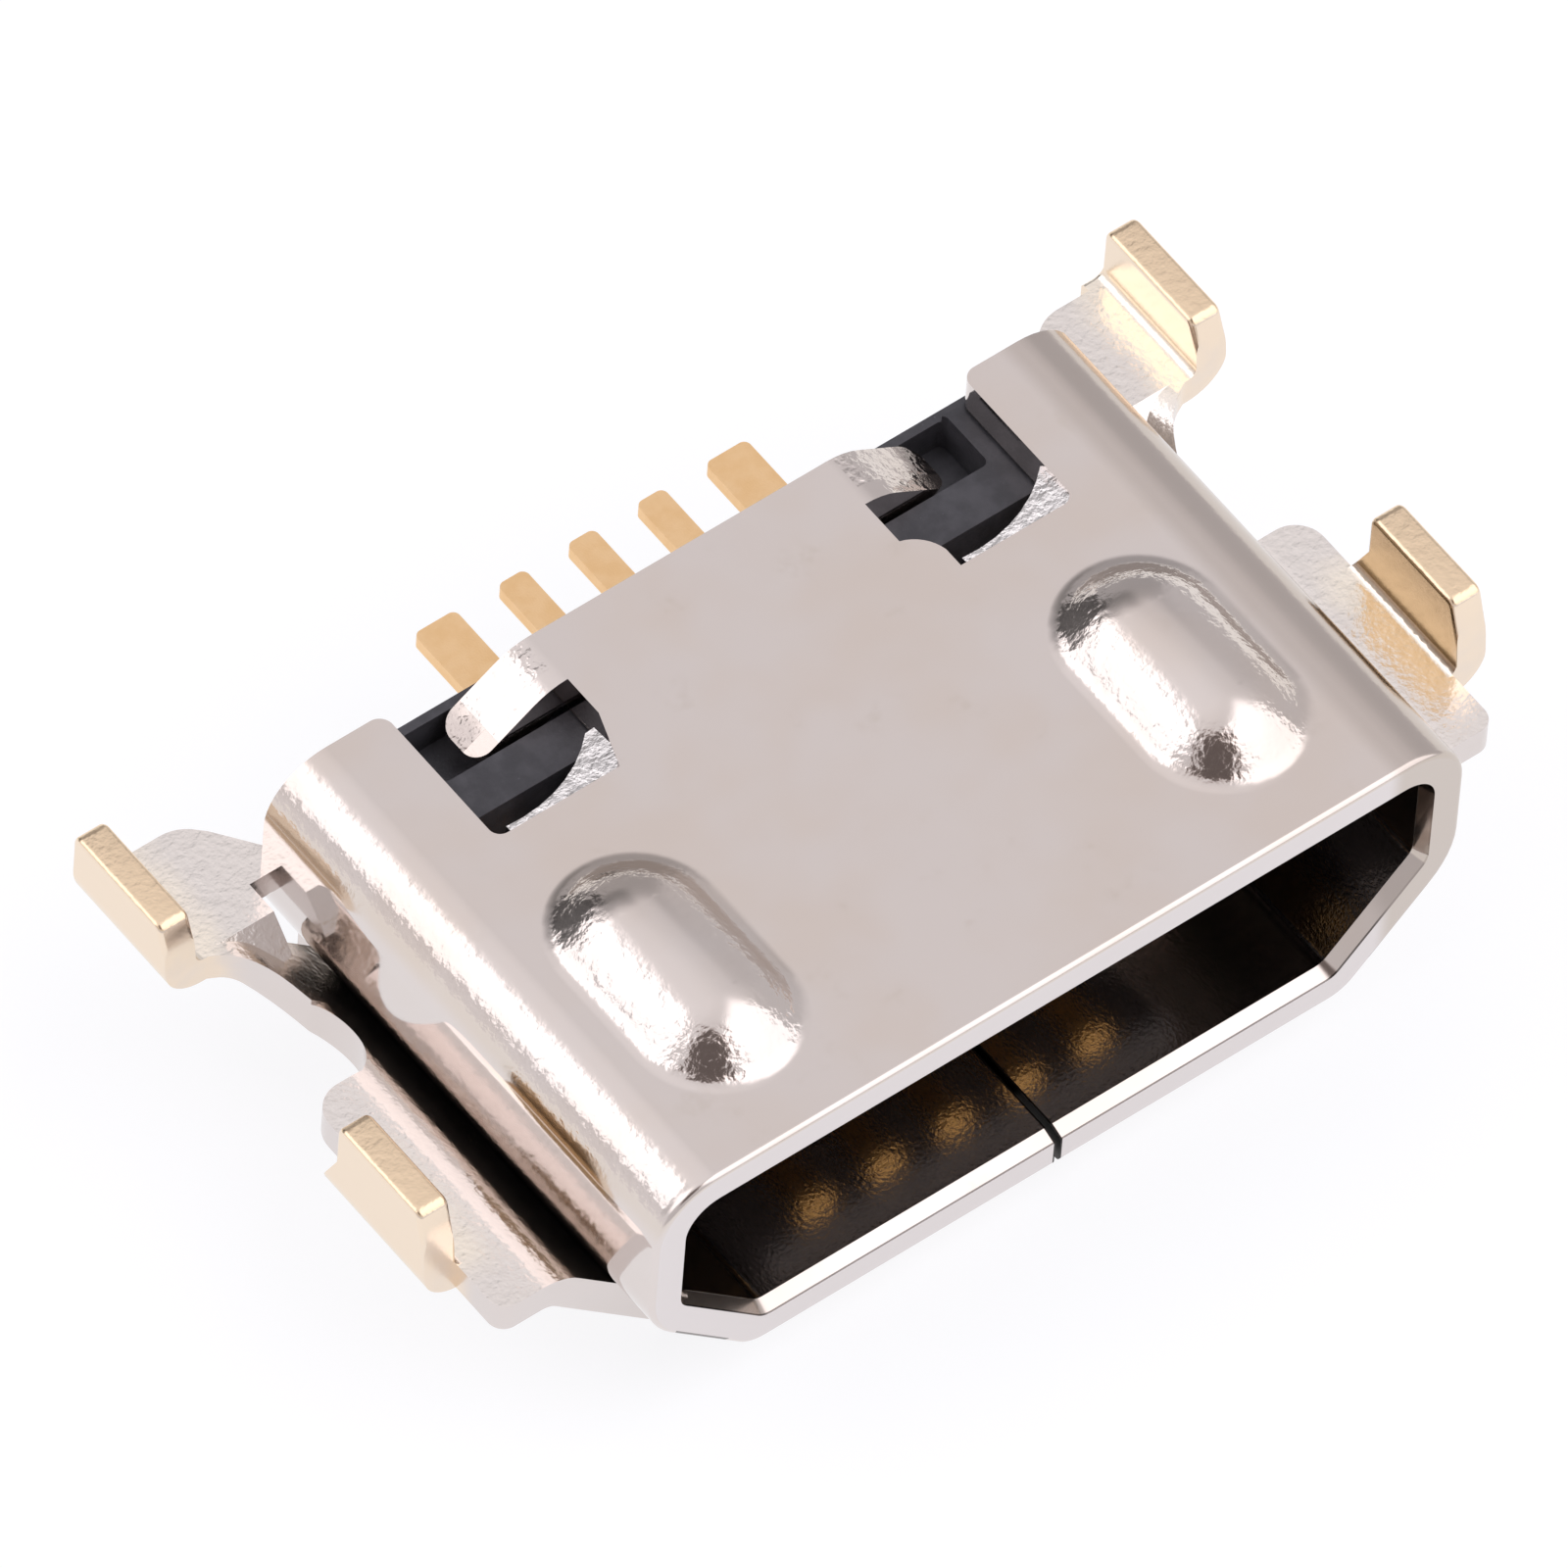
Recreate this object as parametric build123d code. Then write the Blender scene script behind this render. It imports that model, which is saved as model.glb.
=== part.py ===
from build123d import *
from math import cos, radians, sin, sqrt
import os

# A surface-mount phone charging socket with a D-shaped plug opening and five contacts.
# Millimetres. X runs across the opening, +Y runs from the opening to the rear, +Z is up.
# The origin lies on the flat underside, midway between the four upturned solder tabs.
# A depth is a distance behind the opening's front rim, and a drop is one below the shell's top.

# Plug opening, as the standard for this plug gives it
opening_width = 6.90
opening_height = 1.85
opening_chamfer = 0.80
opening_top_radius = 0.25
opening_chamfer_radius = 0.15

# Rolled shell
shell_sheet = 0.33
shell_depth = 4.80
shell_top_radius = 0.55
shell_waist_radius = 0.75
shell_floor_radius = 0.35
rim_round = 0.05
arm_corner_radius = 0.12
lead_in_step = 0.05
lead_in_depth = 0.13
seam_gap = 0.05
seam_offset = 0.08

# Domed pockets over the plug's latch hooks
dome_offset = 2.36
dome_front_depth = 0.46
dome_length = 2.40
dome_width = 1.46
dome_rise = 0.32
dome_root_radius = 0.22

# Rear windows in the shell's top, and the pressed lip and the crimp tongue of each
window_inner = 1.39
window_outer = 2.70
window_length = 1.40
lobe_inset = 0.24
lobe_length = 0.30
window_corner_radius = 0.10
lip_width = 0.95
lip_length = 0.42
lip_strip = 0.15
lip_drop = 0.13
lip_side_drop = 0.06
lip_sheet = 0.20
plate_setback = 0.06
crimp_width = 0.48
crimp_radius = 0.55
crimp_angle = 34
crimp_flat = 0.63
crimp_tip_radius = 0.17

# Mounting bracket under the shell
bracket_sheet = 0.28
bracket_front_depth = 0.67
bracket_inner_bend = 0.45
slope_clearance = 0.11
wing_drop = 1.33
ear_drop = 1.11
wing_bend_radius = 0.20
wing_edge = 4.66
wing_corner_radius = 0.14
wing_rear_radius = 0.26
wing_rear_depth = 3.03
neck_edge = 3.95
neck_depth = 3.48
ear_step_depth = 3.74
ear_front_depth = 4.42
ear_rear_depth = 5.48
ear_inner_edge = 3.46
ear_base_depth = 4.74
slot_outer = 3.93
slot_length = 0.30
base_overhang = 0.26
ramp_length = 0.26

# Upturned solder tabs
tab_outer = 4.97
tab_top_drop = 0.59
tab_bend_radius = 0.08
tab_width = 1.24
tab_taper = 0.12
tab_edge_round = 0.045
tab_corner_round = 0.09
front_tab_depth = 1.82
rear_tab_depth = 5.01
rear_tab_back_trim = 0.06

# Five flat contacts
contact_pitch = 0.65
contact_count = 5
contact_width = 0.26
contact_sheet = 0.12
contact_top_drop = 1.09
contact_front_depth = 1.10
contact_toe = 0.16
outer_tail_extra = 0.13
tail_end_depth = 5.86
tail_setback = 0.14
tail_corner_radius = 0.06

# Moulded insulator
insulator_gap = 0.02
block_length = 1.04
block_overhang = 0.06
block_edge = 0.06
tongue_width = 3.80
tongue_top_gap = 0.30
tongue_front_depth = 0.85
tongue_nose = 0.12
tongue_cover = 0.05
pocket_outer = 2.55
pocket_inner = 1.34
pocket_room = 0.04
sill_drop = 0.42

# Levels and places that follow from the sizes above
shell_bottom = bracket_sheet
shell_top = shell_bottom + opening_height + 2 * shell_sheet
cavity_top = shell_top - shell_sheet
cavity_bottom = shell_bottom + shell_sheet
half_opening = opening_width / 2
half_shell = half_opening + shell_sheet
outer_chamfer = opening_chamfer + shell_sheet * (2 - sqrt(2))
wing_top = shell_top - wing_drop
ear_top = shell_top - ear_drop
tab_top = shell_top - tab_top_drop
mouth_y = -(front_tab_depth + rear_tab_depth) / 2
plate_depth = shell_depth - plate_setback
crimp_front_depth = plate_depth - crimp_width
window_front_depth = shell_depth - window_length
window_lobe_depth = window_front_depth + lobe_length
lobe_inner = window_inner + lobe_inset
slope_depth = ear_base_depth - slot_length
bracket_base_depth = slope_depth + base_overhang
block_rear_depth = shell_depth + block_overhang
block_front_depth = block_rear_depth - block_length
pocket_front_depth = crimp_front_depth - pocket_room
pocket_rear_depth = plate_depth + pocket_room
tail_start_depth = block_rear_depth + tail_setback


def at_depth(depth):
    return mouth_y + depth


def section_plane(depth):
    """A plane across the socket, whose own Y axis is the socket's Z."""
    return Plane(origin=(0, at_depth(depth), 0), x_dir=(1, 0, 0), z_dir=(0, -1, 0))


def d_section(half_width, top, bottom, chamfer_leg, top_radius, waist_radius, floor_radius):
    """The opening's D shape: round upper corners and chamfered lower ones."""
    waist = bottom + chamfer_leg
    corners = [
        (-half_width, top),
        (half_width, top),
        (half_width, waist),
        (half_width - chamfer_leg, bottom),
        (-half_width + chamfer_leg, bottom),
        (-half_width, waist),
    ]
    section = make_face(Polyline(*corners, close=True))
    section = fillet(section.vertices().group_by(Axis.Y)[-1], top_radius)
    waist_corners = section.vertices().filter_by(lambda v: abs(v.Y - waist) < 0.001)
    section = fillet(waist_corners, waist_radius)
    floor_corners = section.vertices().filter_by(
        lambda v: abs(v.Y - bottom) < 0.001 and abs(abs(v.X) - half_width + chamfer_leg) < 0.001)
    return fillet(floor_corners, floor_radius)


def cavity_section(grow=0.0):
    """The opening's section, grown or shrunk all round."""
    return d_section(
        half_opening + grow,
        cavity_top + grow,
        cavity_bottom - grow,
        opening_chamfer + grow * (2 - sqrt(2)),
        opening_top_radius + grow,
        opening_chamfer_radius + grow,
        opening_chamfer_radius + grow,
    )


def slab(x_low, x_high, depth_low, depth_high, z_low, z_high):
    """A block given by its faces."""
    size = (x_high - x_low, depth_high - depth_low, z_high - z_low)
    middle = ((x_low + x_high) / 2, at_depth((depth_low + depth_high) / 2), (z_low + z_high) / 2)
    return Pos(*middle) * Box(*size)


def both_sides(solid):
    """A right-hand piece and its mirror image on the left."""
    return solid + mirror(solid, Plane.YZ)


def plan_prism(outline, z_low, z_high):
    """A plan outline, closed, raised from one level to another."""
    return extrude(Pos(0, 0, z_low) * make_face(outline), amount=z_high - z_low)


# Shell

def dome(offset=0.0):
    """A capsule along Y under one dome, shrunk by an offset inward from the outer face."""
    straight = dome_length - dome_width
    middle_depth = dome_front_depth + dome_length / 2
    reach = (dome_width ** 2 / 4 + dome_rise ** 2) / (2 * dome_rise)
    crest_radius = reach - dome_root_radius
    centre = Pos(dome_offset, at_depth(middle_depth), shell_top + dome_rise - crest_radius)
    body = Rot(90, 0, 0) * Cylinder(crest_radius - offset, straight)
    for end in (-1, 1):
        body += Pos(0, end * straight / 2, 0) * Sphere(crest_radius - offset)
    return centre * body


def dome_root_edges(shell, level):
    """The edges where the domes leave one face of the plate."""
    rear = dome_front_depth + dome_length
    return shell.edges().filter_by(
        lambda e: abs(e.center().Z - level) < 0.001
        and dome_front_depth < e.center().Y - mouth_y < rear
        and abs(abs(e.center().X) - dome_offset) < dome_width / 2)


def window_cut():
    """The right-hand opening through the shell's top, with a rounded lobe at its inner side."""
    front = at_depth(window_front_depth)
    rear = at_depth(shell_depth + shell_sheet)
    lobe_end = at_depth(window_lobe_depth)
    arc = (
        (lobe_inner, lobe_end - 0.12),
        (lobe_inner - 0.05, lobe_end),
        (window_inner, lobe_end + 0.14),
    )
    outline = Curve() + [
        Line((window_outer, rear), (window_outer, front)),
        Line((window_outer, front), (lobe_inner, front)),
        Line((lobe_inner, front), arc[0]),
        ThreePointArc(*arc),
        Line(arc[2], (window_inner, rear)),
        Line((window_inner, rear), (window_outer, rear)),
    ]
    cut = plan_prism(outline, cavity_top - 0.1, shell_top + 0.1)
    front_outer = cut.edges().filter_by(Axis.Z).filter_by(
        lambda e: abs(e.center().X - window_outer) < 0.01 and e.center().Y < front + 0.01)
    return fillet(front_outer, window_corner_radius)


def left_window_cut():
    """The left-hand opening: its inner side runs straight to the lip's corner."""
    front = at_depth(window_front_depth)
    rear = at_depth(shell_depth + shell_sheet)
    corner = (-window_inner - lobe_inset * 0.7, front)
    shoulder = (-window_inner, at_depth(window_front_depth + lip_length + 0.06))
    outline = Polyline(
        (-window_outer, rear), (-window_outer, front), corner, shoulder, (-window_inner, rear), close=True)
    cut = plan_prism(outline, cavity_top - 0.1, shell_top + 0.1)
    front_outer = cut.edges().filter_by(Axis.Z).filter_by(
        lambda e: abs(e.center().X + window_outer) < 0.01 and e.center().Y < front + 0.01)
    return fillet(front_outer, window_corner_radius)


def window_lip(corner_x):
    """The sheared corner pressed down into a window, a three-sided facet that falls to the left."""
    front = at_depth(window_front_depth)
    corner = Vector(corner_x, front, shell_top)
    behind = Vector(corner_x, front + lip_length, shell_top - lip_side_drop)
    beside = Vector(corner_x - lip_width, front, shell_top - lip_drop)
    facet = Plane(origin=corner, x_dir=beside - corner, z_dir=(behind - corner).cross(beside - corner))
    reach = 2 * (lip_width + lip_length)
    sheet = facet * Box(reach, reach, lip_sheet, align=(Align.CENTER, Align.CENTER, Align.MAX))
    hold = 0.08
    free_edge = (
        (corner_x, behind.Y),
        (corner_x - 0.36 * lip_width, front + lip_strip + 0.04),
        (beside.X, front + lip_strip - 0.02),
    )
    outline = Curve() + [
        Line((corner_x + hold, front - hold), (corner_x + hold, behind.Y)),
        Line((corner_x + hold, behind.Y), free_edge[0]),
        ThreePointArc(*free_edge),
        Line(free_edge[2], (beside.X, front - hold)),
        Line((beside.X, front - hold), (corner_x + hold, front - hold)),
    ]
    return sheet & plan_prism(outline, cavity_top - lip_sheet, shell_top)


def crimp_tongue():
    """The tongue that bends outward and down behind the insulator's pad."""
    centre = (window_inner, shell_top - crimp_radius)
    start_angle = 90 - crimp_angle
    outer_arc = CenterArc(centre, crimp_radius, start_angle, crimp_angle)
    inner_arc = CenterArc(centre, crimp_radius - shell_sheet, start_angle, crimp_angle)
    run = Vector(crimp_flat * cos(radians(crimp_angle)), -crimp_flat * sin(radians(crimp_angle)))
    tip_top = outer_arc @ 0 + run
    tip_low = inner_arc @ 0 + run
    outline = Curve() + [
        outer_arc,
        Line(outer_arc @ 1, inner_arc @ 1),
        inner_arc,
        Line(inner_arc @ 0, tip_low),
        Line(tip_low, tip_top),
        Line(tip_top, outer_arc @ 0),
    ]
    tongue = extrude(section_plane(crimp_front_depth) * make_face(outline), amount=crimp_front_depth - plate_depth)
    tip_face = tongue.faces().sort_by(Axis.X)[-1]
    across = tip_face.edges().filter_by(lambda e: abs(e.tangent_at(0.5).Y) < 0.5)
    return fillet(across, crimp_tip_radius)


def make_shell():
    outer = d_section(
        half_shell,
        shell_top,
        shell_bottom,
        outer_chamfer,
        shell_top_radius,
        shell_waist_radius,
        shell_floor_radius,
    )
    shell = extrude(section_plane(0) * outer, amount=-shell_depth)
    shell = fillet(shell.faces().sort_by(Axis.Y)[0].edges(), rim_round)
    shell -= extrude(section_plane(-0.1) * cavity_section(), amount=-shell_depth - 0.2)
    lead_in = [
        section_plane(-lead_in_depth) * cavity_section(2 * lead_in_step),
        section_plane(lead_in_depth) * cavity_section(),
    ]
    shell -= loft(lead_in)

    above_plate = slab(0, half_shell, 0, shell_depth, shell_top - shell_sheet / 2, shell_top + dome_rise + 0.1)
    shell += both_sides(dome() & above_plate)
    shell = fillet(dome_root_edges(shell, shell_top), dome_root_radius)
    shell -= both_sides(dome(shell_sheet))

    shell -= window_cut() + left_window_cut()
    rear_corners = shell.edges().filter_by(Axis.Z).filter_by(
        lambda e: abs(abs(e.center().X) - window_outer) < 0.01 and e.center().Y > at_depth(shell_depth) - 0.01)
    shell = fillet(rear_corners, arm_corner_radius)
    shell -= slab(-window_inner - 0.01, window_inner + 0.01, plate_depth, shell_depth + 0.1, cavity_top - 0.1, shell_top + 0.1)
    shell += window_lip(window_outer) + window_lip(-window_inner - lobe_inset * 0.7)
    shell += both_sides(crimp_tongue())
    shell -= slab(seam_offset - seam_gap / 2, seam_offset + seam_gap / 2, -0.1, shell_depth + 0.1, shell_bottom - 0.1, cavity_bottom + 0.1)
    return shell


# Mounting bracket

def bracket_section(level):
    """The bent sheet across the socket: base, slopes along the shell's chamfers, wings at a level."""
    reach = tab_outer + 0.2
    lean = bracket_sheet * (sqrt(2) - 1)
    base_half = half_shell - outer_chamfer + slope_clearance
    wing_x = base_half + level - shell_bottom
    upper = [
        (0, shell_bottom),
        (base_half, shell_bottom),
        (wing_x, level),
        (reach, level),
    ]
    lower = [
        (reach, level - bracket_sheet),
        (wing_x + lean, level - bracket_sheet),
        (base_half + lean, 0),
        (0, 0),
    ]
    section = make_face(Polyline(*upper, *lower, close=True))
    bends = {
        upper[1]: bracket_inner_bend,
        lower[2]: bracket_inner_bend + bracket_sheet,
        upper[2]: wing_bend_radius + bracket_sheet,
        lower[1]: wing_bend_radius,
    }
    for corner, radius in bends.items():
        nearest = section.vertices().sort_by_distance((corner[0], corner[1], 0))[0]
        section = fillet(nearest, radius)
    return section


def bracket_blank(level, depth_low, depth_high):
    """A length of the bent sheet, its wing at a level."""
    return extrude(section_plane(depth_low) * bracket_section(level), amount=depth_low - depth_high)


def bracket_outline():
    """The right-hand plan of the bracket: base, front wing, neck and rear ear."""
    front = at_depth(bracket_front_depth)
    ear_rear = at_depth(ear_rear_depth)
    waist_start = (neck_edge + 0.21, at_depth(wing_rear_depth))
    ear_start = (neck_edge + 0.15, at_depth(ear_step_depth))
    ear_front = (wing_edge, at_depth(ear_front_depth))
    shoulder = (ear_inner_edge + 0.43, at_depth(ear_rear_depth - 0.17))
    inner_ear = (ear_inner_edge, at_depth(ear_base_depth))
    return Curve() + [
        Line((0, front), (wing_edge, front)),
        Line((wing_edge, front), (wing_edge, waist_start[1])),
        Line((wing_edge, waist_start[1]), waist_start),
        ThreePointArc(waist_start, (neck_edge, at_depth(neck_depth)), ear_start),
        Spline(ear_start, ear_front, tangents=[(0.3, 1), (1, 0.3)]),
        Line(ear_front, (wing_edge, ear_rear)),
        Line((wing_edge, ear_rear), (shoulder[0] + 0.33, ear_rear)),
        Spline((shoulder[0] + 0.33, ear_rear), shoulder, tangents=[(-1, 0), (-0.7, -0.75)]),
        Line(shoulder, inner_ear),
        Line(inner_ear, (0, inner_ear[1])),
        Line((0, inner_ear[1]), (0, front)),
    ]


def solder_tab(depth, level, back_trim, back_taper):
    """One upturned tab with its bend, narrower towards its top."""
    inner = tab_outer - bracket_sheet
    low = level - bracket_sheet
    rise = tab_top - level
    root = wing_edge - 0.15
    corners = [
        (root, low),
        (tab_outer, low),
        (tab_outer, tab_top),
        (inner, tab_top),
        (inner, level),
        (root, level),
    ]
    section = make_face(Polyline(*corners, close=True))
    outer_bend = section.vertices().sort_by_distance((tab_outer, low, 0))[0]
    section = fillet(outer_bend, tab_bend_radius + bracket_sheet)
    inner_bend = section.vertices().sort_by_distance((inner, level, 0))[0]
    section = fillet(inner_bend, tab_bend_radius)
    blank = extrude(section_plane(depth - tab_width / 2) * section, amount=-tab_width)

    # The side view trims the blank's front and rear edges to their lean
    half = tab_width / 2
    middle = at_depth(depth)
    back = middle + half - back_trim
    side = [
        (middle - half, low - 0.1),
        (back, low - 0.1),
        (back, level),
        (back - back_taper, level + rise * 0.35),
        (back - back_taper, tab_top),
        (middle - half + tab_taper, tab_top),
        (middle - half + tab_taper * 0.3, level + rise * 0.62),
        (middle - half, level),
    ]
    side_plane = Plane(origin=(root, 0, 0), x_dir=(0, 1, 0), z_dir=(1, 0, 0))
    trim = extrude(side_plane * make_face(Polyline(*side, close=True)), amount=tab_outer)
    tab = blank & trim
    corner_edges = tab.edges().filter_by(Axis.X).filter_by(lambda e: e.center().Z > tab_top - 0.01)
    tab = fillet(corner_edges, tab_corner_round)
    crown = tab.faces().sort_by(Axis.Z)[-1].edges().filter_by(Axis.Y)
    return fillet(crown, tab_edge_round)


def make_bracket():
    half = bracket_blank(wing_top, bracket_front_depth, ear_step_depth)
    half += bracket_blank(ear_top, ear_step_depth, ear_rear_depth + 0.1)

    # Behind the slopes each ear is level up to its inner edge, with a slot beside the shell
    flat_start = neck_edge + 0.60
    past_base = slab(0, flat_start, bracket_base_depth, ear_rear_depth + 0.2, -0.1, shell_top)
    past_slope = slab(ear_inner_edge, flat_start, slope_depth, ear_rear_depth + 0.2, -0.1, shell_top)
    half -= past_base + past_slope
    ear_low = ear_top - bracket_sheet
    half += slab(slot_outer, flat_start, slope_depth, ear_base_depth, ear_low, ear_top)
    half += slab(ear_inner_edge, flat_start, ear_base_depth, ear_rear_depth, ear_low, ear_top)

    # A ramp leads from the bend up to the level part
    ramp_front = at_depth(slope_depth - ramp_length)
    ramp_rear = at_depth(slope_depth)
    ramp_side = Polyline((ramp_rear, ear_top), (ramp_rear, ear_low), (ramp_front, ear_low), close=True)
    ramp_plane = Plane(origin=(slot_outer, 0, 0), x_dir=(0, 1, 0), z_dir=(1, 0, 0))
    half += extrude(ramp_plane * make_face(ramp_side), amount=flat_start - slot_outer)
    half = half & plan_prism(bracket_outline(), -0.1, shell_top)

    for depth, radius in ((bracket_front_depth, wing_corner_radius), (wing_rear_depth, wing_rear_radius)):
        corner = half.edges().filter_by(Axis.Z).filter_by(
            lambda e: e.center().X > wing_edge - 0.01 and abs(e.center().Y - at_depth(depth)) < 0.01)
        half = fillet(corner, radius)
    half += solder_tab(front_tab_depth, wing_top, 0, tab_taper)
    half += solder_tab(rear_tab_depth, ear_top, rear_tab_back_trim, 0)
    return both_sides(half)


# Contacts

def contact_x(index):
    return (index - (contact_count - 1) / 2) * contact_pitch


def make_contact(index):
    """A flat strip: a toe turned up into the tongue, a beam along it, and a solder tail."""
    top = shell_top - contact_top_drop
    low = top - contact_sheet
    front = at_depth(contact_front_depth)
    rear = at_depth(tail_end_depth)
    side = [
        (front, low),
        (rear, low),
        (rear, top),
        (front + contact_sheet * 0.41, top),
        (front - contact_toe + contact_sheet, top + contact_toe),
        (front - contact_toe, top + contact_toe - contact_sheet * 0.41),
    ]
    centre = contact_x(index)
    half = contact_width / 2
    widest = half + outer_tail_extra
    side_plane = Plane(origin=(centre - widest, 0, 0), x_dir=(0, 1, 0), z_dir=(1, 0, 0))
    strip = extrude(side_plane * make_face(Polyline(*side, close=True)), amount=2 * widest)

    outward = (index == contact_count - 1) - (index == 0)
    tail_shift = outward * outer_tail_extra / 2
    tail_half = half + abs(tail_shift)
    middle = centre + tail_shift
    ceiling = top + contact_toe + 0.1
    plan = slab(centre - half, centre + half, 0, tail_end_depth, low - 0.1, ceiling)
    plan += slab(middle - tail_half, middle + tail_half, tail_start_depth, tail_end_depth, low - 0.1, ceiling)
    contact = strip & plan
    end_edges = contact.edges().filter_by(Axis.Z).filter_by(lambda e: e.center().Y > rear - 0.01)
    return fillet(end_edges, tail_corner_radius)


# Insulator

def make_insulator(contacts):
    block_section = section_plane(block_front_depth) * cavity_section(-insulator_gap)
    block = extrude(block_section, amount=block_front_depth - block_rear_depth)
    contact_low = shell_top - contact_top_drop - contact_sheet
    tongue_low = contact_low + contact_sheet - tongue_cover
    tongue_top = cavity_top - tongue_top_gap
    tongue = slab(
        -tongue_width / 2, tongue_width / 2, tongue_front_depth, block_front_depth + 0.1, tongue_low, tongue_top)
    nose_edges = tongue.faces().sort_by(Axis.Y)[0].edges().filter_by(Axis.X)
    tongue = chamfer(nose_edges, tongue_nose)

    rear_face_edges = block.faces().sort_by(Axis.Y)[-1].edges()
    block = chamfer(rear_face_edges, block_edge)
    tip_drop = crimp_radius - (crimp_radius - shell_sheet) * cos(radians(crimp_angle))
    pocket_floor = shell_top - tip_drop - crimp_flat * sin(radians(crimp_angle)) - insulator_gap
    pocket = slab(pocket_inner, pocket_outer, pocket_front_depth, pocket_rear_depth, pocket_floor, shell_top)
    pocket = fillet(pocket.edges().filter_by(Axis.Z), 0.06)
    sill = slab(pocket_inner, half_shell, pocket_rear_depth - 0.01, block_rear_depth + 0.1, shell_top - sill_drop, shell_top)
    block -= both_sides(pocket) + both_sides(sill)

    insulator = block + tongue
    for contact in contacts:
        insulator -= contact
    return insulator


def main():
    os.makedirs("parts", exist_ok=True)
    contacts = [make_contact(index) for index in range(contact_count)]
    nodes = {
        "shell": make_shell(),
        "mounting_bracket": make_bracket(),
        "insulator": make_insulator(contacts),
    }
    for index, contact in enumerate(contacts):
        nodes["contact_%d" % (index + 1)] = contact
    for name, solid in nodes.items():
        export_step(solid, "parts/%s.step" % name)


main()
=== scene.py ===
"""A phone charging port: nickel-plated shell and bracket, gold-plated tabs and tails, black insulator."""
import math

import bmesh
import bpy
from mathutils import Matrix, Vector


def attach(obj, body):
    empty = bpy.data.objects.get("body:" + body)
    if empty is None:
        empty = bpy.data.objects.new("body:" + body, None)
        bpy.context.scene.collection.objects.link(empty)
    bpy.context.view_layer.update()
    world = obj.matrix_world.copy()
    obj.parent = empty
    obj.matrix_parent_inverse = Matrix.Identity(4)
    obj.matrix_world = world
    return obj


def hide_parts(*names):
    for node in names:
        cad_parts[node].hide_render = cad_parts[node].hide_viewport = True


MM = 0.001

# Places on the part that the looks refer to, in millimetres in the part's own frame.
# A depth is a distance behind the opening's rim, and a side is one from the centre plane.
MOUTH_Y = -3.415
SHELL_TOP = 2.79
CAVITY_TOP = 2.46
CAVITY_BOTTOM = 0.61
CAVITY_SIDE = 3.45
CHAMFER_SIDE = 2.59
BEVEL_DEPTH = 0.13
SEAM_X = 0.08
SEAM_HALF = 0.040
SEAM_TOP = 0.70
LIP_SIDES = (1.0, 2.75)
LIP_DEPTHS = (3.37, 3.86)
CRIMP_SIDES = (1.40, 2.40)
CRIMP_DEPTHS = (4.42, 5.02)
ROLL_SIDES = (3.12, 3.28)
RIGHT_DARK_SIDES = (3.02, 3.20)
CHAMFER_TOP = 1.30
WING_TOP = 1.46
TAB_INNER = 4.69
FRONT_TAB_DEPTHS = (1.12, 2.52)
REAR_TAB_DEPTHS = (4.30, 5.90)
WASH_SIDES = (4.22, 4.56)
CONTACT_HIDDEN_DEPTH = 3.5

# Linear colours
NICKEL = (0.712, 0.640, 0.585)
NICKEL_WARM = (0.700, 0.612, 0.540)
NICKEL_STAIN = (0.600, 0.520, 0.430)
# Painted shade: the inside of the opening, near black in its side corners and at the crimp tongues' tips
NICKEL_INSIDE_SHADE = (0.620, 0.540, 0.480)
NICKEL_CORNER_SHADE = (0.200, 0.180, 0.170)
NICKEL_RIGHT_DARK = (0.560, 0.490, 0.430)
# Painted highlight on the bracket's upward faces
TOP_HIGHLIGHT = (0.860, 0.800, 0.730)
CUT_EDGE = (0.735, 0.685, 0.680)
SHEARED = (0.930, 0.890, 0.850)
GOLD_WASH = (0.980, 0.885, 0.740)
GOLD_TOP = (0.880, 0.680, 0.460)
GOLD_PALE = (0.900, 0.755, 0.600)
# Painted shade on the inner faces of the front tabs
GOLD_INNER_SHADE = (0.490, 0.350, 0.195)
GOLD_MATTE = (0.950, 0.650, 0.350)
GOLD_MATTE_DEEP = (0.910, 0.600, 0.300)
GOLD_INSIDE = (1.000, 0.600, 0.220)
# Painted shade in the seam's crevice, and the dark line just behind the rim
SEAM_SHADE_AND_RIM_LINE = (0.030, 0.026, 0.024)
MOULDING = (0.044, 0.042, 0.047)
MOULDING_PALE = (0.070, 0.067, 0.074)
MOULDING_SPECK = (0.160, 0.160, 0.180)

# Heights of one unit of bump, in metres
SHELL_GRAIN = 0.0000065
BRACKET_GRAIN = 0.0000040
GOLD_GRAIN = 0.0000060
MOULDING_GRAIN = 0.0000100

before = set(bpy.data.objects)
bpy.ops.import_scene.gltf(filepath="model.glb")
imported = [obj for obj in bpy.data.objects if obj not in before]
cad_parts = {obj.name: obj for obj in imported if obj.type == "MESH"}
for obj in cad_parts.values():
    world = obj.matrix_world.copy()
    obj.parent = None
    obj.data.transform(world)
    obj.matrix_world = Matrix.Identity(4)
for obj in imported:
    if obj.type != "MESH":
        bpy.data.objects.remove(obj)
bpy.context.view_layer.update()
scene = bpy.context.scene


# Node helpers

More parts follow.
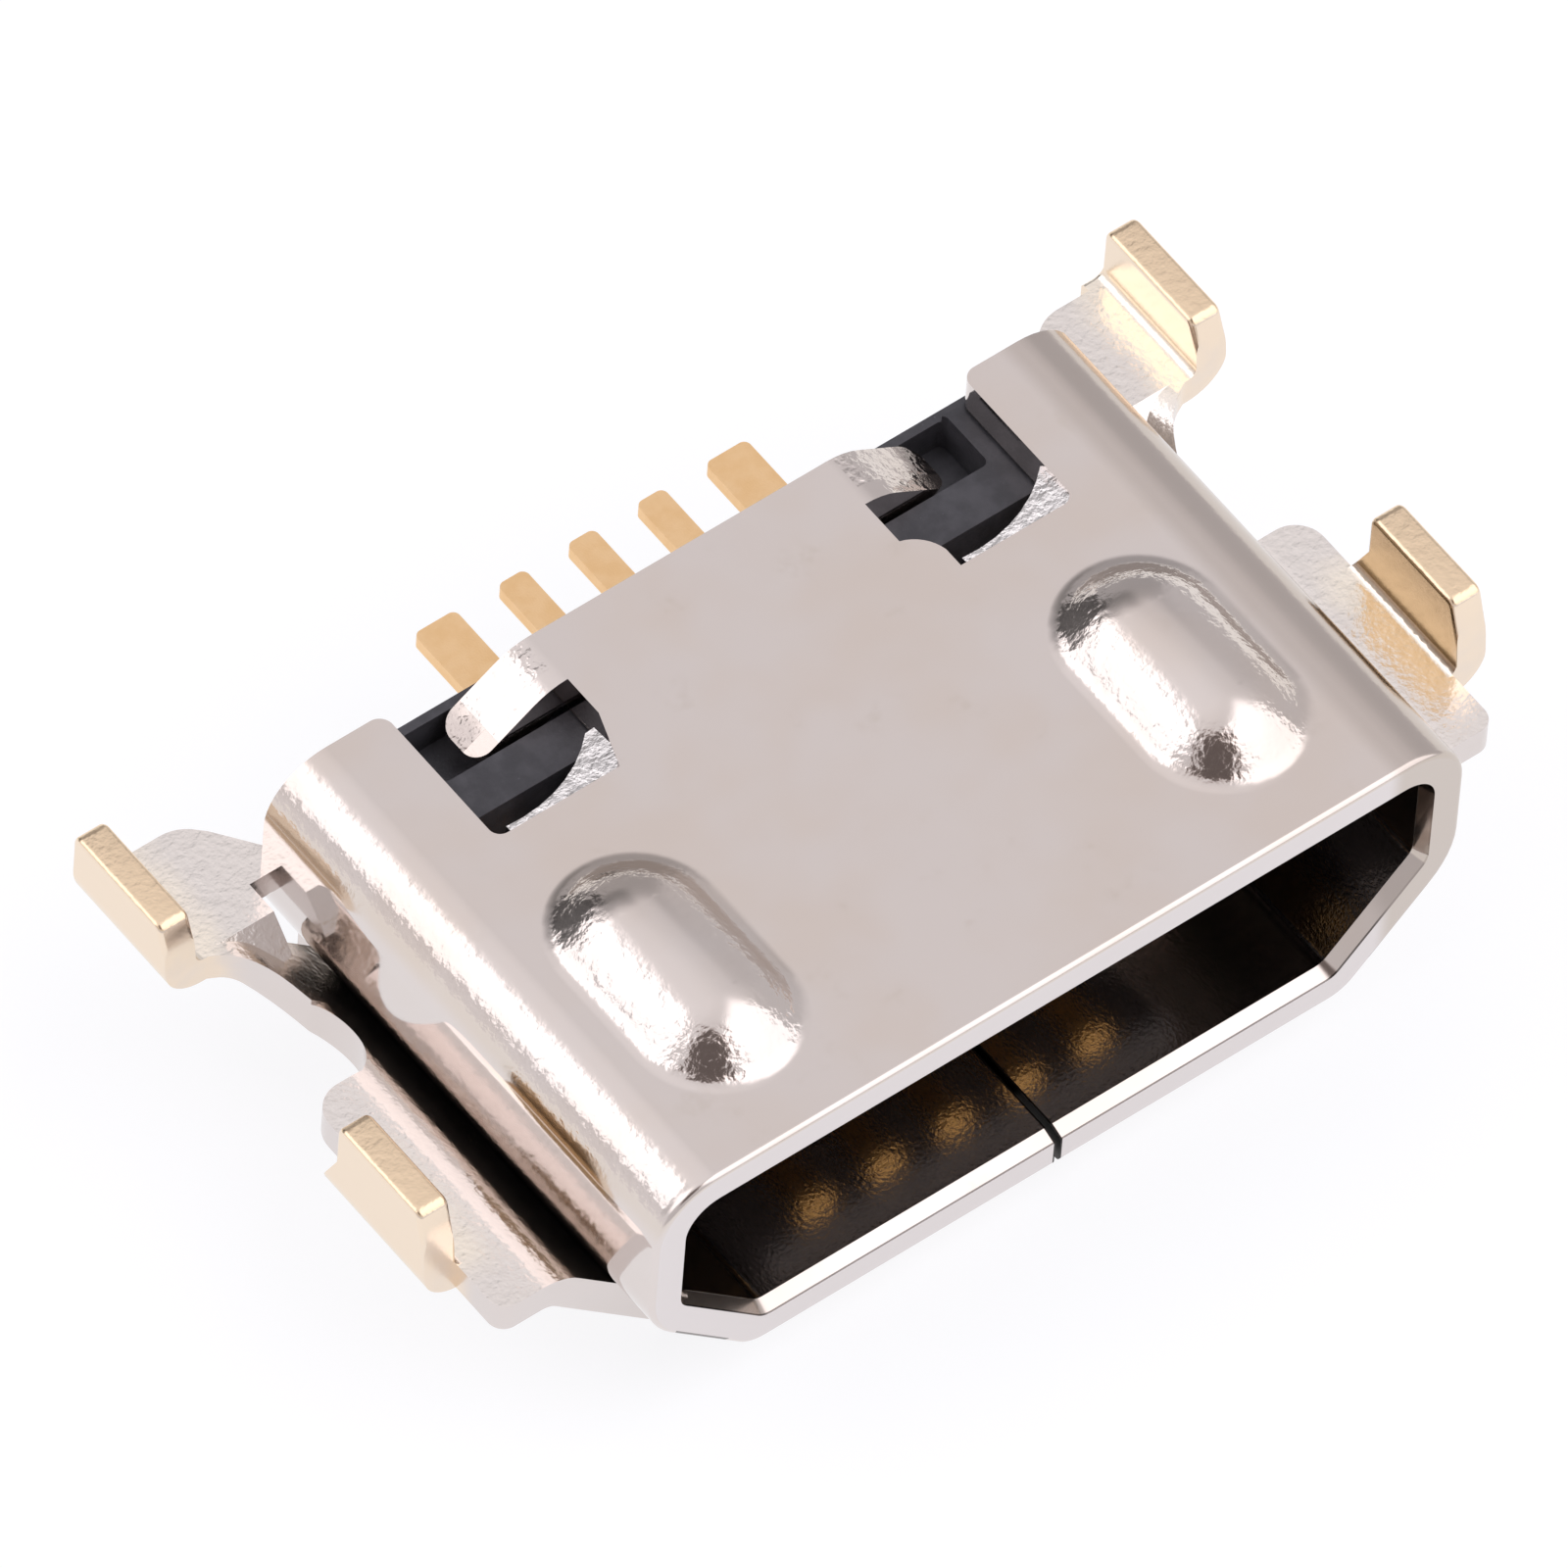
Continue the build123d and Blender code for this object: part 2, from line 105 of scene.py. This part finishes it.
class Nodes:
    """A short way to write node trees."""

    def __init__(self, tree):
        self.tree = tree
        self.tree.nodes.clear()

    def add(self, kind, inputs=None, **props):
        node = self.tree.nodes.new(kind)
        for key, value in props.items():
            setattr(node, key, value)
        for key, value in (inputs or {}).items():
            self.set(node, key, value)
        return node

    def set(self, node, key, value):
        socket = node.inputs[key]
        if isinstance(value, bpy.types.NodeSocket):
            self.tree.links.new(value, socket)
        elif isinstance(value, tuple) and len(value) == 3 and socket.type == "RGBA":
            socket.default_value = (*value, 1.0)
        else:
            socket.default_value = value

    def math(self, operation, *values):
        node = self.add("ShaderNodeMath", operation=operation)
        for index, value in enumerate(values):
            self.set(node, index, value)
        return node.outputs[0]

    def times(self, first, *others):
        for other in others:
            first = self.math("MULTIPLY", first, other)
        return first

    def plus(self, first, *others):
        for other in others:
            first = self.math("ADD", first, other)
        return first

    def inverse(self, value):
        return self.math("SUBTRACT", 1.0, value)

    def above(self, value, bound):
        return self.math("GREATER_THAN", value, bound)

    def below(self, value, bound):
        return self.math("LESS_THAN", value, bound)

    def band(self, value, low, high):
        """1 where a value lies between two bounds, with hard ends."""
        return self.times(self.above(value, low), self.below(value, high))

    def ramp(self, value, low, high):
        """0 below low and 1 above high, with a smooth rise."""
        node = self.add("ShaderNodeMapRange", {"Value": value}, interpolation_type="SMOOTHSTEP")
        node.inputs["From Min"].default_value = low
        node.inputs["From Max"].default_value = high
        return node.outputs["Result"]

    def window(self, value, low, high, soft):
        """1 between low and high, with soft ends."""
        rise = self.ramp(value, low - soft, low + soft)
        fall = self.ramp(value, high - soft, high + soft)
        return self.times(rise, self.inverse(fall))

    def mix(self, factor, first, second):
        """Mixes two colours."""
        node = self.add("ShaderNodeMix", {0: factor, 6: first, 7: second}, data_type="RGBA")
        return node.outputs[2]

    def blend(self, factor, first, second):
        """Mixes two numbers."""
        node = self.add("ShaderNodeMix", {0: factor, 2: first, 3: second}, data_type="FLOAT")
        return node.outputs[0]

    def noise(self, vector, scale, detail=3.0, rough=0.55):
        inputs = {"Vector": vector, "Scale": scale, "Detail": detail, "Roughness": rough}
        return self.add("ShaderNodeTexNoise", inputs).outputs[0]

    def waver(self, vector, scale, amount):
        """Noise round zero."""
        return self.times(self.math("SUBTRACT", self.noise(vector, scale), 0.5), amount)


def part_coordinates(n):
    """Object coordinates in millimetres, whole and as X, Y and Z."""
    coords = n.add("ShaderNodeTexCoord")
    scaled = n.add("ShaderNodeVectorMath", {0: coords.outputs["Object"]}, operation="SCALE")
    scaled.inputs["Scale"].default_value = 1000.0
    split = n.add("ShaderNodeSeparateXYZ", {"Vector": scaled.outputs[0]})
    return scaled.outputs[0], split.outputs["X"], split.outputs["Y"], split.outputs["Z"]


def facing_up(n):
    """1 on a face that looks up, 0 on an upright one."""
    normal = n.add("ShaderNodeNewGeometry").outputs["Normal"]
    return n.add("ShaderNodeSeparateXYZ", {"Vector": normal}).outputs["Z"]


def finish(n, colour, rough, height, grain, strength=1.0, metallic=1.0):
    """Ends a material with its shader, and with a bump that has the given height for one unit."""
    bump = n.add("ShaderNodeBump", {"Height": height})
    bump.inputs["Strength"].default_value = strength
    bump.inputs["Distance"].default_value = grain
    inputs = {"Base Color": colour, "Roughness": rough, "Normal": bump.outputs[0]}
    shader = n.add("ShaderNodeBsdfPrincipled", inputs)
    shader.inputs["Metallic"].default_value = metallic
    n.add("ShaderNodeOutputMaterial", {"Surface": shader.outputs[0]})


def material(name):
    mat = bpy.data.materials.new(name)
    mat.use_nodes = True
    return mat, Nodes(mat.node_tree)


# Materials

def nickel_colour(n, xyz):
    """Faint blotches and a few brownish stains on bright plating, and the pattern of the stains."""
    blotch = n.noise(xyz, 0.9, 2.0)
    stain = n.noise(xyz, 2.4, 4.0, 0.6)
    colour = n.mix(n.ramp(blotch, 0.35, 0.70), NICKEL, NICKEL_WARM)
    return n.mix(n.times(n.ramp(stain, 0.60, 0.78), 0.30), colour, NICKEL_STAIN), stain


def wrinkles(n, xyz, wide, fine):
    """Height of the orange-peel skin that plating gets where the sheet was bent or stretched."""
    return n.plus(n.times(n.noise(xyz, wide, 2.0, 0.5), 1.3), n.noise(xyz, fine, 2.0, 0.5))


def nickel_shell():
    """Bright plating, grained where the sheet was stretched and rough on the torn lips."""
    mat, n = material("nickel_shell")
    xyz, x, y, z = part_coordinates(n)
    colour, stain = nickel_colour(n, xyz)
    facing = facing_up(n)
    side = n.math("ABSOLUTE", x)
    depth = n.math("SUBTRACT", y, MOUTH_Y)

    # The opening, whose inside is painted darker as shade, and a dark line just behind its rim
    cavity_height = n.band(z, CAVITY_BOTTOM - 0.02, CAVITY_TOP + 0.02)
    cavity = n.times(n.below(side, CAVITY_SIDE + 0.02), cavity_height, n.above(depth, BEVEL_DEPTH))
    outside = n.inverse(cavity)
    mouth_height = n.band(z, CAVITY_BOTTOM - 0.06, CAVITY_TOP + 0.06)
    dark_rim_line = n.times(n.below(side, CAVITY_SIDE + 0.07), mouth_height, n.band(depth, 0.0005, 0.014))
    # Painted shade: the seam's crevice near black
    shaded_seam = n.times(n.band(x, SEAM_X - SEAM_HALF, SEAM_X + SEAM_HALF), n.below(z, SEAM_TOP))

    # The domes and the rolled sides, where the right roll has less grain than the left one
    rolled = n.times(n.ramp(side, *ROLL_SIDES), n.blend(n.above(x, 0.0), 0.20, 0.85))
    sloping = n.times(n.inverse(n.ramp(facing, 0.88, 0.98)), n.ramp(facing, 0.22, 0.60))
    upper = n.times(n.ramp(depth, 0.06, 0.12), n.above(z, CHAMFER_TOP))
    stretched = n.times(sloping, upper, outside, n.inverse(rolled))
    wall = n.inverse(n.ramp(facing, 0.10, 0.45))

    # The pressed lips in the rear windows, and the dented ends of the crimp tongues, whose tips are also
    # painted darker as shade
    lip = n.times(n.band(depth, *LIP_DEPTHS), n.band(side, *LIP_SIDES))
    lip = n.times(lip, n.band(z, CAVITY_TOP - 0.1, SHELL_TOP - 0.004), n.ramp(facing, 0.55, 0.75))
    crimp = n.times(n.band(side, *CRIMP_SIDES), n.band(depth, *CRIMP_DEPTHS))
    crimp = n.times(crimp, n.ramp(facing, 0.20, 0.50), n.below(facing, 0.995))
    ragged = n.plus(side, n.waver(xyz, 7.0, 0.25))
    tip = n.times(crimp, n.ramp(ragged, 1.96, 2.12))
    root = n.times(crimp, n.inverse(n.ramp(ragged, 1.55, 1.72)))

    # Painted shade inside the opening, near black in its side corners
    cavity_shade = n.mix(n.ramp(side, CHAMFER_SIDE - 0.04, CHAMFER_SIDE + 0.04), NICKEL_INSIDE_SHADE, NICKEL_CORNER_SHADE)
    for place, tone in (
        (n.times(wall, 0.65), CUT_EDGE),
        (n.below(depth, 0.001), CUT_EDGE),
        (cavity, cavity_shade),
        # a dark line just behind the rim
        (n.times(dark_rim_line, 0.75), SEAM_SHADE_AND_RIM_LINE),
        # a darker tone over the right side, from its roll outward
        (n.times(n.ramp(x, *RIGHT_DARK_SIDES), 0.80), NICKEL_RIGHT_DARK),
        (lip, SHEARED),
        # painted shade at the tips of the crimp tongues
        (n.times(tip, 0.45), NICKEL_CORNER_SHADE),
        # painted shade in the seam
        (shaded_seam, SEAM_SHADE_AND_RIM_LINE),
    ):
        colour = n.mix(place, colour, tone)

    squeeze = n.add("ShaderNodeMapping", {"Vector": xyz})
    squeeze.inputs["Scale"].default_value = (1.0, 0.80, 1.0)
    height = n.plus(
        n.times(wrinkles(n, xyz, 7.5, 16.0), n.plus(stretched, 0.02)),
        n.times(n.noise(xyz, 9.0, 3.0, 0.6), lip, 7.0),
        n.times(n.math("MAXIMUM", tip, root), n.noise(xyz, 11.0, 2.0), 3.0),
        n.times(n.noise(squeeze.outputs[0], 34.0, 2.0), cavity, 0.35))

    rough = n.plus(0.16, n.times(stain, 0.06))
    for place, value in (
        (n.times(wall, outside), 0.08),
        (stretched, 0.13),
        (cavity, 0.16),
        (n.math("MAXIMUM", lip, shaded_seam), 0.38),
    ):
        rough = n.blend(place, rough, value)
    finish(n, colour, rough, height, SHELL_GRAIN)
    return mat


def nickel_bracket():
    """Nickel that turns to gold on the tabs, as dipped plating does."""
    mat, n = material("nickel_bracket")
    xyz, x, y, z = part_coordinates(n)
    colour, stain = nickel_colour(n, xyz)
    facing = facing_up(n)
    side = n.math("ABSOLUTE", x)
    wobble = n.waver(xyz, 4.0, 0.22)
    depth = n.plus(n.math("SUBTRACT", y, MOUTH_Y), wobble)

    near_tab = n.math(
        "MAXIMUM", n.window(depth, *FRONT_TAB_DEPTHS, 0.18), n.window(depth, *REAR_TAB_DEPTHS, 0.18))
    plated = n.times(near_tab, n.ramp(n.plus(side, wobble), *WASH_SIDES))
    upper = n.above(facing, 0.60)
    level = n.times(upper, n.below(side, TAB_INNER))
    crown = n.times(upper, n.above(side, TAB_INNER))
    # Painted shade: the inner faces of the front tabs are a darker gold
    shaded_inner_face = n.times(n.below(side, TAB_INNER + 0.01), n.above(z, WING_TOP + 0.06), n.below(y, 0.0))

    # Painted light: faces that look up are lighter than upright ones, which take the cut-edge tone
    sides = n.mix(0.65, colour, CUT_EDGE)
    lit_tops = n.mix(0.85, colour, TOP_HIGHLIGHT)
    colour = n.mix(n.ramp(facing, 0.25, 0.75), sides, lit_tops)
    gold = n.mix(level, GOLD_PALE, GOLD_WASH)
    gold = n.mix(crown, gold, GOLD_TOP)
    gold = n.mix(shaded_inner_face, gold, GOLD_INNER_SHADE)
    colour = n.mix(plated, colour, gold)

    upward = n.ramp(facing, 0.30, 0.80)
    height = n.times(wrinkles(n, xyz, 9.0, 22.0), n.plus(0.20, n.times(upward, 0.80)))
    rough = n.blend(plated, n.plus(0.17, n.times(stain, 0.08)), 0.24)
    finish(n, colour, rough, height, BRACKET_GRAIN)
    return mat


def matte_gold():
    """Matte plating on the tails, deeper and smoother on the hidden ends of the contacts."""
    mat, n = material("matte_gold")
    xyz, _, y, _ = part_coordinates(n)
    hidden = n.below(y, MOUTH_Y + CONTACT_HIDDEN_DEPTH)
    colour = n.mix(n.ramp(n.noise(xyz, 6.0, 4.0), 0.35, 0.70), GOLD_MATTE, GOLD_MATTE_DEEP)
    colour = n.mix(hidden, colour, GOLD_INSIDE)
    finish(n, colour, n.blend(hidden, 0.42, 0.30), n.noise(xyz, 60.0), GOLD_GRAIN, strength=0.25)
    return mat


def black_moulding():
    """Dark plastic with uneven tone, a few pale specks and a fine grain."""
    mat, n = material("black_moulding")
    xyz, _, _, _ = part_coordinates(n)
    colour = n.mix(n.ramp(n.noise(xyz, 5.0, 4.0), 0.35, 0.70), MOULDING, MOULDING_PALE)
    speck = n.ramp(n.noise(xyz, 18.0, 2.0), 0.70, 0.76)
    colour = n.mix(n.times(speck, 0.35), colour, MOULDING_SPECK)
    finish(n, colour, 0.42, n.noise(xyz, 35.0), MOULDING_GRAIN, strength=0.30, metallic=0.0)
    return mat


LOOKS = {
    "shell": (nickel_shell(), "nickel_plate"),
    "mounting_bracket": (nickel_bracket(), "nickel_plate"),
    "insulator": (black_moulding(), "insulator_black"),
}
gold = matte_gold()
for number in range(1, 6):
    LOOKS["contact_%d" % number] = (gold, "gold_plate")


# Pieces that stand for the solids, with smooth normals over their rolled and domed faces

MERGE_DISTANCE = 0.0004 * MM
SAME_PLACE = 0.001 * MM
FLAT_WIDTH = 0.20 * MM
COPLANAR = math.radians(0.05)
SHARP = math.radians(32)


def flat_faces(work):
    """The faces that lie in broad flat areas, not in the strips of a rolled one."""
    flat = set()
    seen = set()
    for first in work.faces:
        if first in seen:
            continue
        seen.add(first)
        group, ahead = [first], [first]
        while ahead:
            for edge in ahead.pop().edges:
                if len(edge.link_faces) != 2 or edge.calc_face_angle(1.0) >= COPLANAR:
                    continue
                for other in edge.link_faces:
                    if other not in seen:
                        seen.add(other)
                        group.append(other)
                        ahead.append(other)
        points = [vertex.co for face in group for vertex in face.verts]
        low = Vector(min(point[axis] for point in points) for axis in range(3))
        high = Vector(max(point[axis] for point in points) for axis in range(3))
        if sum(face.calc_area() for face in group) > FLAT_WIDTH * (high - low).length:
            flat.update(group)
    return flat


def fan_of(loop):
    """The corners round a vertex that are joined to this one without a sharp edge between them."""
    found, ahead = {loop}, [loop]
    while ahead:
        corner = ahead.pop()
        for edge in (corner.edge, corner.link_loop_prev.edge):
            if edge.smooth:
                for face in edge.link_faces:
                    for other in face.loops:
                        if other.vert == corner.vert and other not in found:
                            found.add(other)
                            ahead.append(other)
    return found


def corner_normals(work):
    """Normals for every corner: level over flat areas, and even over curved ones."""
    flat = flat_faces(work)
    normals = {}
    for face in work.faces:
        for loop in face.loops:
            if loop in normals:
                continue
            fan = fan_of(loop)
            level = [corner for corner in fan if corner.face in flat]
            total = Vector((0, 0, 0))
            for corner in level or fan:
                weight = corner.face.calc_area() if level else corner.calc_angle()
                total += corner.face.normal * weight
            total.normalize()
            for corner in fan:
                normals[corner] = total
    return [normals[loop] for face in work.faces for loop in face.loops]


def smooth_copy(node, look):
    """A copy of a node's mesh with its look, and with edges that are sharp only where the part's are."""
    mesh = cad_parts[node].data.copy()
    mesh.name = node + "_surface"
    mesh.materials.clear()
    mesh.materials.append(look)
    piece = bpy.data.objects.new(node + "_surface", mesh)
    scene.collection.objects.link(piece)
    work = bmesh.new()
    work.from_mesh(mesh)
    bmesh.ops.remove_doubles(work, verts=work.verts, dist=MERGE_DISTANCE)
    work.normal_update()
    for face in work.faces:
        face.smooth = True
    bevel_end = (MOUTH_Y + BEVEL_DEPTH) * MM
    for edge in work.edges:
        bevel = all(abs(vertex.co.y - bevel_end) < SAME_PLACE for vertex in edge.verts)
        edge.smooth = len(edge.link_faces) == 2 and edge.calc_face_angle(0.0) <= SHARP and not bevel
    normals = corner_normals(work)
    work.to_mesh(mesh)
    work.free()
    mesh.normals_split_custom_set(normals)
    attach(piece, "root")
    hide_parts(node)
    return piece


for node, (look, slot) in LOOKS.items():
    smooth_copy(node, look)


# Floor and light

FLOOR_REACH = 400 * MM


def white_floor():
    """A floor that the camera and reflections see as near white, with the part's faint shadow."""
    mat, n = material("white_floor")
    path = n.add("ShaderNodeLightPath")
    seen = n.math("MAXIMUM", path.outputs["Is Camera Ray"], path.outputs["Is Glossy Ray"])
    seen = n.math("MAXIMUM", seen, path.outputs["Is Transmission Ray"])
    plain = n.add("ShaderNodeBsdfDiffuse", {"Color": (0.80, 0.80, 0.80)})
    shaded = n.add("ShaderNodeBsdfDiffuse", {"Color": (0.22, 0.22, 0.22)})
    glow = n.add("ShaderNodeEmission", {"Color": (0.985, 0.985, 1.0), "Strength": 0.83})
    both = n.add("ShaderNodeAddShader", {0: shaded.outputs[0], 1: glow.outputs[0]})
    out = n.add("ShaderNodeMixShader", {0: seen, 1: plain.outputs[0], 2: both.outputs[0]})
    n.add("ShaderNodeOutputMaterial", {"Surface": out.outputs[0]})
    return mat


mesh = bpy.data.meshes.new("floor")
corners = [(FLOOR_REACH * x, FLOOR_REACH * y, 0) for x, y in ((-1, -1), (1, -1), (1, 1), (-1, 1))]
mesh.from_pydata(corners, [], [(0, 1, 2, 3)])
mesh.materials.append(white_floor())
floor = bpy.data.objects.new("floor", mesh)
scene.collection.objects.link(floor)

# The studio, by degrees to the right of the camera's side and degrees above the floor
TOWARD_CAMERA = Vector((-0.667, -0.745, 0.0))
RIGHT_OF_CAMERA = Vector((0.745, -0.667, 0.0))
BASE_LIGHT = 0.68
ZENITH_LIGHT = 0.20
STUDIO_TINT = (0.990, 0.975, 1.040)
CAMERA_TINT = (1.0, 0.84, 0.84)

# Direction, half width and half height, softness of the edge, and amount
SOFTBOXES = (
    ((-88, 41), (22, 20), 5, 0.95),
    ((88, 43), (29, 34), 6, 0.90),
    ((-85, 2), (40, 14), 6, 0.22),
)
DARK_WALLS = (
    ((-121, 16), (22, 16), 5, 0.80),
    ((-163, 16), (27, 25), 8, 0.32),
    ((173, 16), (20, 25), 8, 0.05),
    ((-148, 40), (16, 12), 6, 0.50),
)

# Direction, half angle, softness of the edge, and amount
SPOTLIGHT = ((-130, 60), 22, 12, 0.12)
CAMERA_DARK = ((0, 54.8), 20, 6, 0.82)


def heading(azimuth, elevation):
    """The direction at these two angles in degrees."""
    azimuth, elevation = math.radians(azimuth), math.radians(elevation)
    level = TOWARD_CAMERA * math.cos(azimuth) + RIGHT_OF_CAMERA * math.sin(azimuth)
    return (level * math.cos(elevation) + Vector((0.0, 0.0, math.sin(elevation)))).normalized()


def studio_world():
    """A pale studio: a softbox on each side, a dark place behind the camera, darker walls low behind."""
    world = bpy.data.worlds.new("studio")
    world.use_nodes = True
    n = Nodes(world.node_tree)
    direction = n.add("ShaderNodeTexCoord").outputs["Generated"]
    height = n.add("ShaderNodeSeparateXYZ", {"Vector": direction}).outputs["Z"]

    def along(axis):
        dot = n.add("ShaderNodeVectorMath", {0: direction}, operation="DOT_PRODUCT")
        dot.inputs[1].default_value = axis
        return dot.outputs["Value"]

    def cone(toward, wide, edge):
        """1 within an angle of a direction, 0 outside."""
        low, high = (math.cos(math.radians(wide + step)) for step in (edge, -edge))
        return n.ramp(along(heading(*toward)), low, high)

    def box(toward, sizes, edge):
        """1 inside a rectangle seen around a direction, 0 outside."""
        toward = heading(*toward)
        across = Vector((0, 0, 1)).cross(toward).normalized()
        ahead = n.math("MAXIMUM", along(toward), 0.001)
        soft = math.tan(math.radians(edge))
        inside = []
        for axis, angle in zip((across, toward.cross(across)), sizes):
            limit = math.tan(math.radians(angle))
            slide = n.math("DIVIDE", n.math("ABSOLUTE", along(axis)), ahead)
            inside.append(n.inverse(n.ramp(slide, limit - soft, limit + soft)))
        return n.times(*inside)

    total = n.plus(BASE_LIGHT, n.times(n.ramp(height, 0.35, 0.95), ZENITH_LIGHT))
    for toward, sizes, edge, amount in SOFTBOXES:
        total = n.plus(total, n.times(box(toward, sizes, edge), amount))
    *spot, amount = SPOTLIGHT
    total = n.plus(total, n.times(cone(*spot), amount))
    for toward, sizes, edge, amount in DARK_WALLS:
        total = n.times(total, n.inverse(n.times(box(toward, sizes, edge), amount)))
    *behind, amount = CAMERA_DARK
    camera_side = cone(*behind)
    total = n.times(total, n.inverse(n.times(camera_side, amount)))

    lit = n.add("ShaderNodeBackground", {
        "Strength": total, "Color": n.mix(camera_side, STUDIO_TINT, CAMERA_TINT)})
    white = n.add("ShaderNodeBackground", {"Color": (1.0, 1.0, 1.0)})
    camera_ray = n.add("ShaderNodeLightPath").outputs["Is Camera Ray"]
    out = n.add("ShaderNodeMixShader", {0: camera_ray, 1: lit.outputs[0], 2: white.outputs[0]})
    n.add("ShaderNodeOutputWorld", {"Surface": out.outputs[0]})
    return world


scene.world = studio_world()
scene.view_settings.view_transform = "Standard"

# Camera: almost parallel view from the upper front left, in radians and millimetres
AZIMUTH, ELEVATION, ROLL = -0.7192, 0.9411, 0.0828
DISTANCE = 333.333
VIEW_WIDTH = 11.6456
SHIFT_ACROSS, SHIFT_UP = -0.51805, 0.31873
SENSOR_WIDTH = 36.0
AIM = Vector((0, MOUTH_Y + 2.5, SHELL_TOP - 1.0))

right = Vector((math.cos(AZIMUTH), math.sin(AZIMUTH), 0))
back = Vector((
    math.sin(AZIMUTH) * math.cos(ELEVATION),
    -math.cos(AZIMUTH) * math.cos(ELEVATION),
    math.sin(ELEVATION),
))
up = back.cross(right)
across = math.cos(ROLL) * right + math.sin(ROLL) * up
upward = -math.sin(ROLL) * right + math.cos(ROLL) * up
aim = AIM + SHIFT_ACROSS * across + SHIFT_UP * upward
camera_data = bpy.data.cameras.new("view")
camera_data.sensor_width = SENSOR_WIDTH
camera_data.lens = SENSOR_WIDTH * DISTANCE / VIEW_WIDTH
camera_data.clip_start = 0.05
camera_data.clip_end = 5.0
camera = bpy.data.objects.new("view", camera_data)
scene.collection.objects.link(camera)
place = Matrix((across, upward, back)).transposed().to_4x4()
place.translation = (aim + DISTANCE * back) * MM
camera.matrix_world = place
scene.camera = camera
